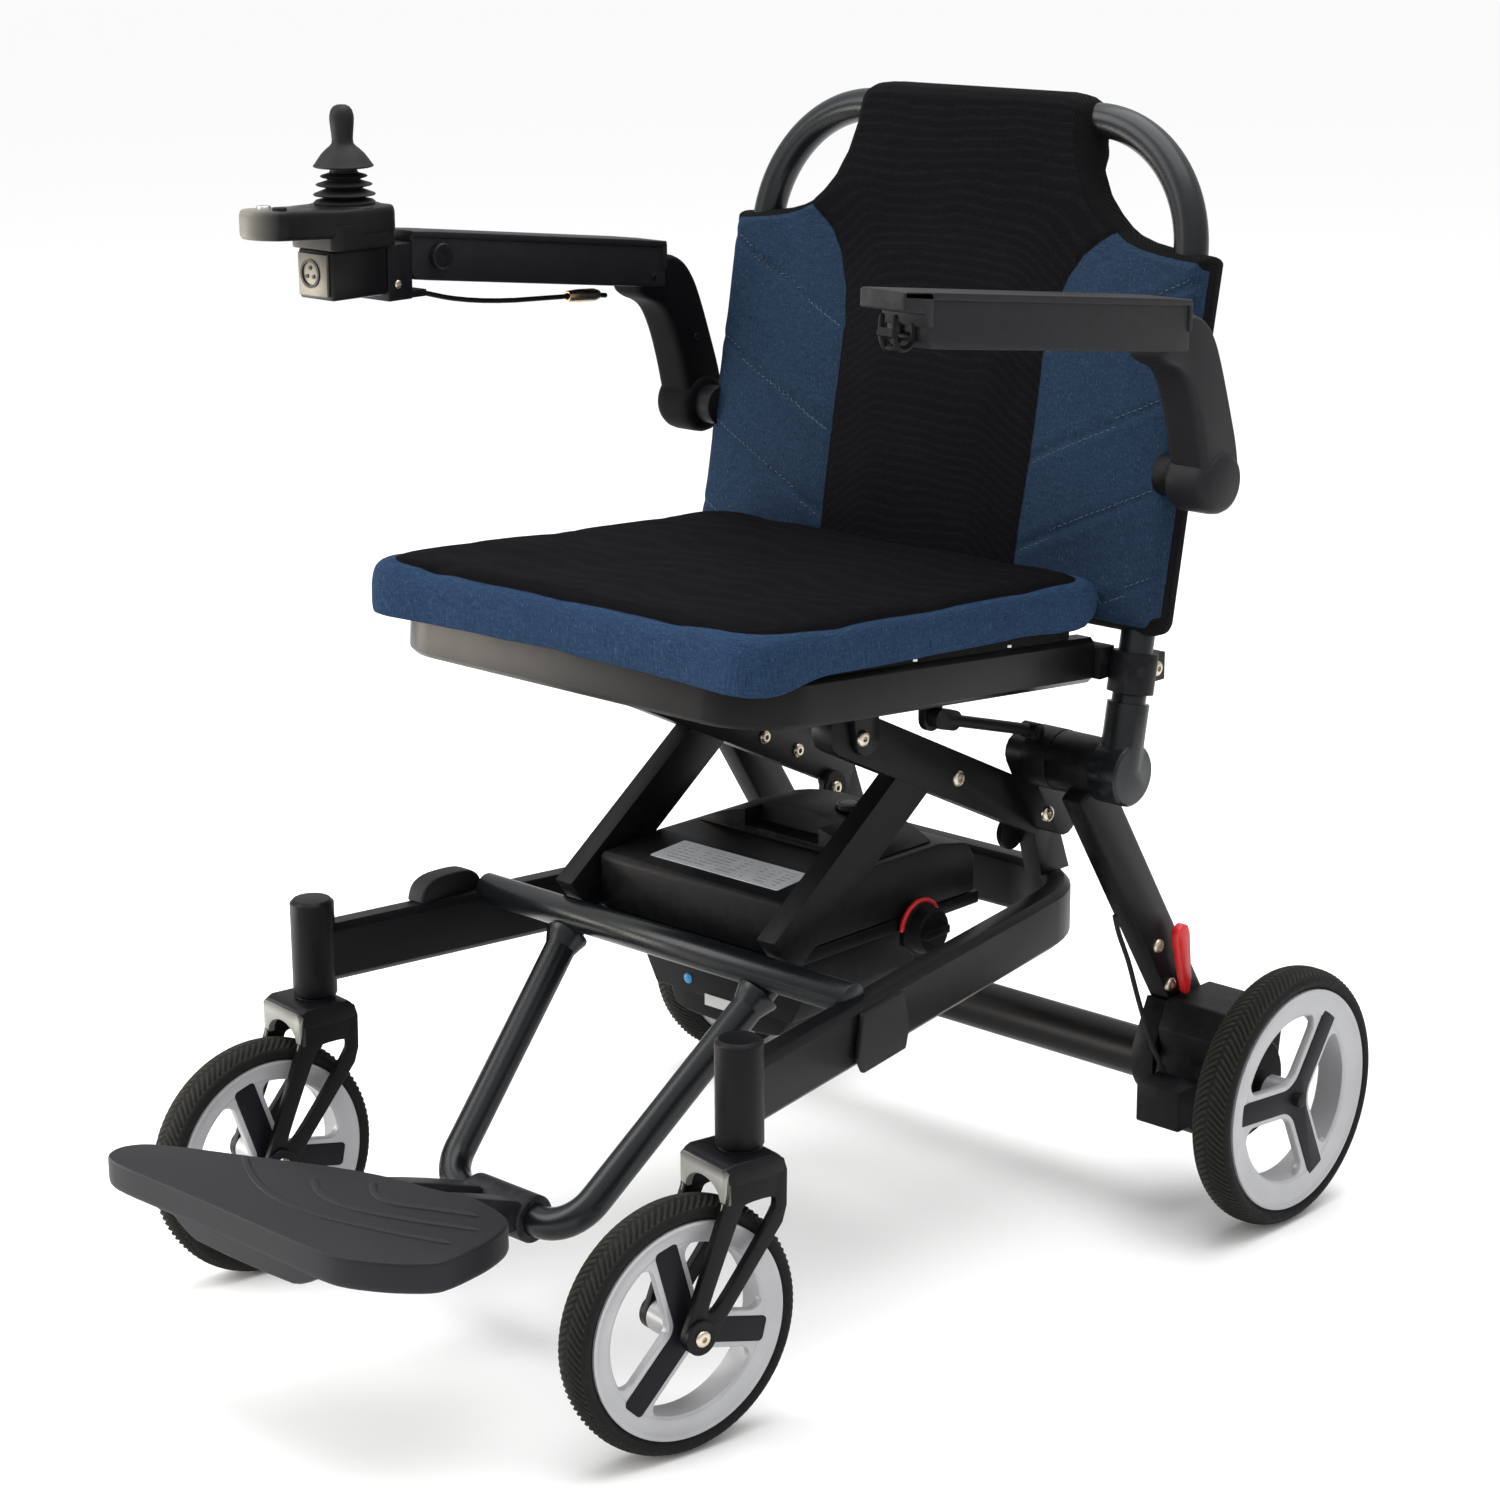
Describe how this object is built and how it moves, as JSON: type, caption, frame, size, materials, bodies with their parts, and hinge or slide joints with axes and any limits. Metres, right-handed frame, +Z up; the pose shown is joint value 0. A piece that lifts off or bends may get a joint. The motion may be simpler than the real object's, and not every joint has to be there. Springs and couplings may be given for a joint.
{
  "type": "power wheelchair",
  "caption": "Folding power wheelchair with caster wheels in front, driven wheels behind, flip-up armrests, joystick, battery tray and hinged footplate.",
  "frame": {"origin": "on the floor under the middle of the footprint", "axes": "+Z up, the chair faces -Y, +X is the sitter's left"},
  "size_m": [0.6428, 0.9414, 0.9087],
  "materials": {
    "frame_paint": "satin black powder coat",
    "tube_paint": "semi-gloss black",
    "black_plastic": "fine moulded texture",
    "grey_plastic": "dark grey moulded plastic",
    "arm_plastic": "smooth dark plastic",
    "rim_silver": "satin",
    "tyre": "solid tyre with fine tread",
    "soft_rubber": "matte",
    "red_plastic": "gloss red",
    "navy_fabric": "navy melange cloth with a black stitched centre",
    "black_mesh": "black spacer mesh",
    "silver_metal": "brushed"
  },
  "bodies": {
    "chair_frame": {"front_frame": "frame_paint", "front_cross_tube": "tube_paint", "footrest_tube": "tube_paint", "bumper_left": "soft_rubber", "bumper_right": "soft_rubber", "side_truss_left": "frame_paint", "side_truss_right": "frame_paint", "back_post_left": "tube_paint", "back_post_right": "tube_paint", "seat_frame": "frame_paint", "seat_clamp_left": "black_plastic", "seat_clamp_right": "black_plastic", "seat_cushion": "black_mesh", "back_panel_lower": "navy_fabric", "battery_case": "grey_plastic", "controller_tray": "black_plastic", "armrest_hub_left": "black_plastic", "armrest_hub_right": "black_plastic", "brace_rod_left": "frame_paint", "brace_rod_right": "frame_paint"},
    "caster_fork_left_body": {"caster_fork_left": "frame_paint"},
    "caster_fork_right_body": {"caster_fork_right": "frame_paint"},
    "caster_wheel_left": {"caster_tyre_left": "tyre", "caster_rim_left": "rim_silver", "caster_spoke_inlay_left": "black_plastic"},
    "caster_wheel_right": {"caster_tyre_right": "tyre", "caster_rim_right": "rim_silver", "caster_spoke_inlay_right": "black_plastic"},
    "rear_axle_frame": {"rear_frame": "tube_paint", "drive_motor_left": "black_plastic", "drive_motor_right": "black_plastic", "motor_cable_left": "soft_rubber"},
    "drive_wheel_left": {"drive_tyre_left": "tyre", "drive_rim_left": "rim_silver", "drive_spoke_inlay_left": "black_plastic"},
    "drive_wheel_right": {"drive_tyre_right": "tyre", "drive_rim_right": "rim_silver", "drive_spoke_inlay_right": "black_plastic"},
    "brake_release_left": {"brake_lever_left": "red_plastic"},
    "brake_release_right": {"brake_lever_right": "red_plastic"},
    "upper_back": {"back_hoop": "tube_paint", "back_panel_upper": "navy_fabric"},
    "armrest_left": {"armrest_upright_left": "arm_plastic", "armrest_beam_left": "arm_plastic", "armrest_clip_left": "black_plastic"},
    "armrest_right": {"armrest_upright_right": "arm_plastic", "armrest_beam_right": "arm_plastic", "joystick_bracket": "black_plastic", "joystick_box": "black_plastic", "joystick_head": "black_plastic", "joystick_boot": "soft_rubber", "charge_socket": "silver_metal", "joystick_cable": "soft_rubber", "cable_connector": "silver_metal"},
    "joystick_cradle": {"joystick_gimbal": "silver_metal"},
    "joystick_lever": {"joystick_stick": "soft_rubber"},
    "power_key": {"power_button": "silver_metal"},
    "horn_key": {"horn_button": "grey_plastic"},
    "footrest": {"footplate": "grey_plastic"},
    "latch": {"battery_latch": "black_plastic"}
  },
  "joints": [
    {"name": "rear_fold", "type": "hinge", "parent": "chair_frame", "child": "rear_axle_frame", "pos_m": [0, 0.2388, 0.392], "axis": [-1, 0, 0], "range_deg": [0, 55]},
    {"name": "drive_spin_left", "type": "hinge", "parent": "rear_axle_frame", "child": "drive_wheel_left", "pos_m": [0.302, 0.3631, 0.1076], "axis": [1, 0, 0], "continuous": true},
    {"name": "drive_spin_right", "type": "hinge", "parent": "rear_axle_frame", "child": "drive_wheel_right", "pos_m": [-0.302, 0.3631, 0.1076], "axis": [1, 0, 0], "continuous": true},
    {"name": "brake_left", "type": "hinge", "parent": "rear_axle_frame", "child": "brake_release_left", "pos_m": [0.2175, 0.3413, 0.184], "axis": [1, 0, 0], "range_deg": [0, 35]},
    {"name": "brake_right", "type": "hinge", "parent": "rear_axle_frame", "child": "brake_release_right", "pos_m": [-0.2175, 0.3413, 0.184], "axis": [1, 0, 0], "range_deg": [0, 35]},
    {"name": "caster_swivel_left", "type": "hinge", "parent": "chair_frame", "child": "caster_fork_left_body", "pos_m": [0.2317, -0.2055, 0.2085], "axis": [0, 0, 1], "continuous": true},
    {"name": "caster_spin_left", "type": "hinge", "parent": "caster_fork_left_body", "child": "caster_wheel_left", "pos_m": [0.22187, -0.25961, 0.0953], "axis": [0.9839, -0.1788, 0], "continuous": true},
    {"name": "caster_swivel_right", "type": "hinge", "parent": "chair_frame", "child": "caster_fork_right_body", "pos_m": [-0.2317, -0.2055, 0.2085], "axis": [0, 0, 1], "continuous": true},
    {"name": "caster_spin_right", "type": "hinge", "parent": "caster_fork_right_body", "child": "caster_wheel_right", "pos_m": [-0.2385, -0.26008, 0.0953], "axis": [0.9923, -0.1236, 0], "continuous": true},
    {"name": "back_fold", "type": "hinge", "parent": "chair_frame", "child": "upper_back", "pos_m": [0, 0.2688, 0.627], "axis": [1, 0, 0], "range_deg": [0, 95]},
    {"name": "armrest_flip_left", "type": "hinge", "parent": "chair_frame", "child": "armrest_left", "pos_m": [0.2717, 0.2688, 0.627], "axis": [-1, 0, 0], "range_deg": [0, 100]},
    {"name": "armrest_flip_right", "type": "hinge", "parent": "chair_frame", "child": "armrest_right", "pos_m": [-0.2717, 0.2688, 0.627], "axis": [-1, 0, 0], "range_deg": [0, 100]},
    {"name": "joystick_side", "type": "hinge", "parent": "armrest_right", "child": "joystick_cradle", "pos_m": [-0.2717, -0.1112, 0.8262], "axis": [0, 1, 0], "range_deg": [-18, 18], "stiffness_Nm_per_rad": 0.3, "deforming": ["joystick_boot"]},
    {"name": "joystick_fore", "type": "hinge", "parent": "joystick_cradle", "child": "joystick_lever", "pos_m": [-0.2717, -0.1112, 0.8262], "axis": [1, 0, 0], "range_deg": [-18, 18], "stiffness_Nm_per_rad": 0.3, "deforming": ["joystick_boot"]},
    {"name": "power_press", "type": "slide", "parent": "armrest_right", "child": "power_key", "axis": [0, 0, -1], "range_m": [0, 0.001], "stiffness_N_per_m": 120},
    {"name": "horn_press", "type": "slide", "parent": "armrest_right", "child": "horn_key", "axis": [0, 0, -1], "range_m": [0, 0.001], "stiffness_N_per_m": 120},
    {"name": "footplate_flip", "type": "hinge", "parent": "chair_frame", "child": "footrest", "pos_m": [0, -0.2192, 0.106], "axis": [-1, 0, 0], "range_deg": [0, 80]},
    {"name": "battery_latch_turn", "type": "hinge", "parent": "chair_frame", "child": "latch", "pos_m": [0.1024, 0.1388, 0.2625], "axis": [1, 0, 0], "range_deg": [0, 90]}
  ]
}
